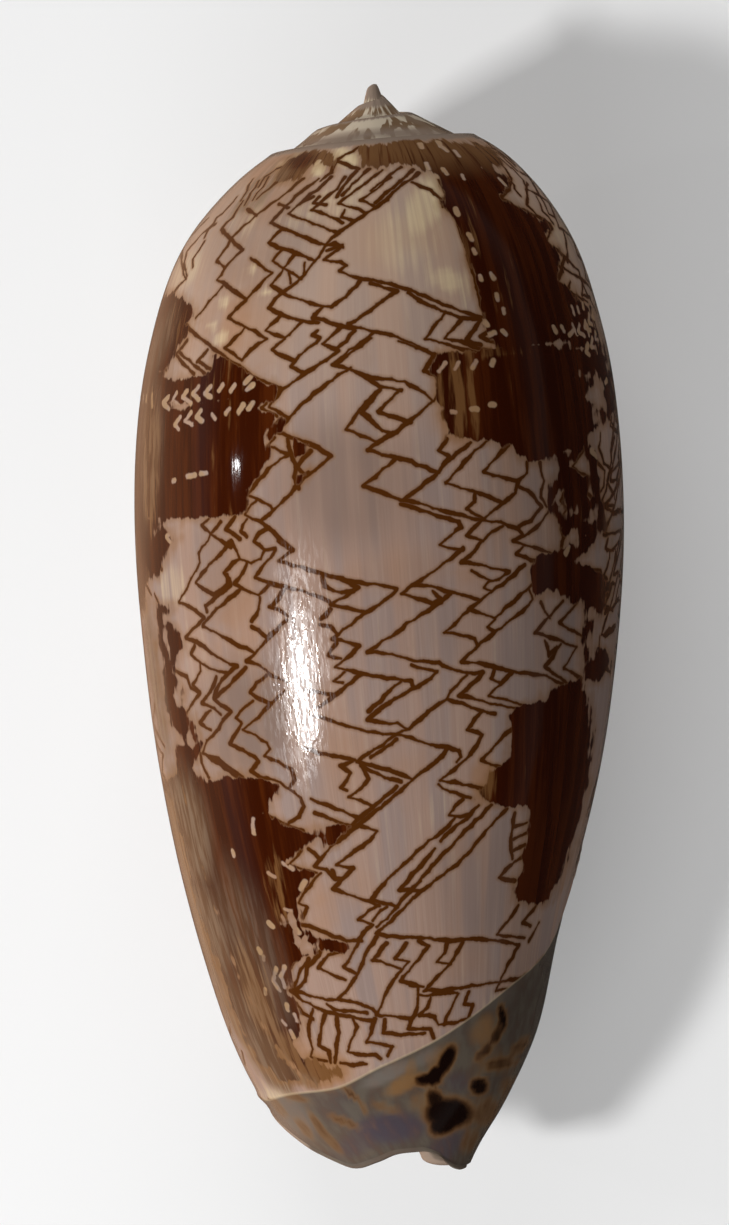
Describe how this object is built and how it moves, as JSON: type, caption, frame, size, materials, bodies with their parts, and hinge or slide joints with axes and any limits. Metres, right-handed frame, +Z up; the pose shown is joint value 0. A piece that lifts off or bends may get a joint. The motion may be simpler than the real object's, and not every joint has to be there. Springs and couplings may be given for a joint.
{
  "type": "olive shell",
  "caption": "Glossy olive snail shell lying on its mouth side, with a low coiled spire, a long narrow mouth and dark zigzag tent lines on a pale ground.",
  "frame": {"origin": "centre of the bounding box's footprint, on the ground the shell lies on", "axes": "+Z up through the back of the shell, +Y along the coil axis toward the spire, +X to the right when the back is seen with the spire away from the viewer"},
  "size_m": [0.0434, 0.0948, 0.0389],
  "materials": {
    "enamel": "gloss"
  },
  "bodies": {
    "root": {"shell": "enamel"}
  },
  "joints": []
}
